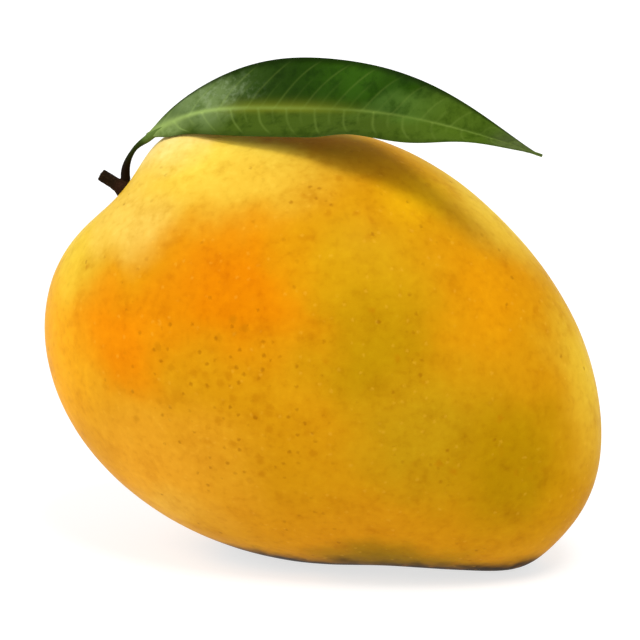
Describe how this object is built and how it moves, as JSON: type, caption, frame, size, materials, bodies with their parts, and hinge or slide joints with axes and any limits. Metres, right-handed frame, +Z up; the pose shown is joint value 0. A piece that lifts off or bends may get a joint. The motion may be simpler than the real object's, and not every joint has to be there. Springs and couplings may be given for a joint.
{
  "type": "mango",
  "caption": "Ripe mango lying on its ventral edge, with a cut stub of its stalk and one arched leaf over its crown.",
  "frame": {"origin": "on the surface that the fruit rests on, under the middle of the object's box", "axes": "+X along the fruit's length from the stem end towards the beak, +Y across its thickness away from the side the leaf leans over, +Z up"},
  "size_m": [0.1178, 0.075, 0.1055],
  "materials": {
    "skin": "satin",
    "bark": "matte",
    "leaf": "satin"
  },
  "bodies": {
    "root": {"fruit": "skin", "stem": "bark", "leaf": "leaf"}
  },
  "joints": []
}
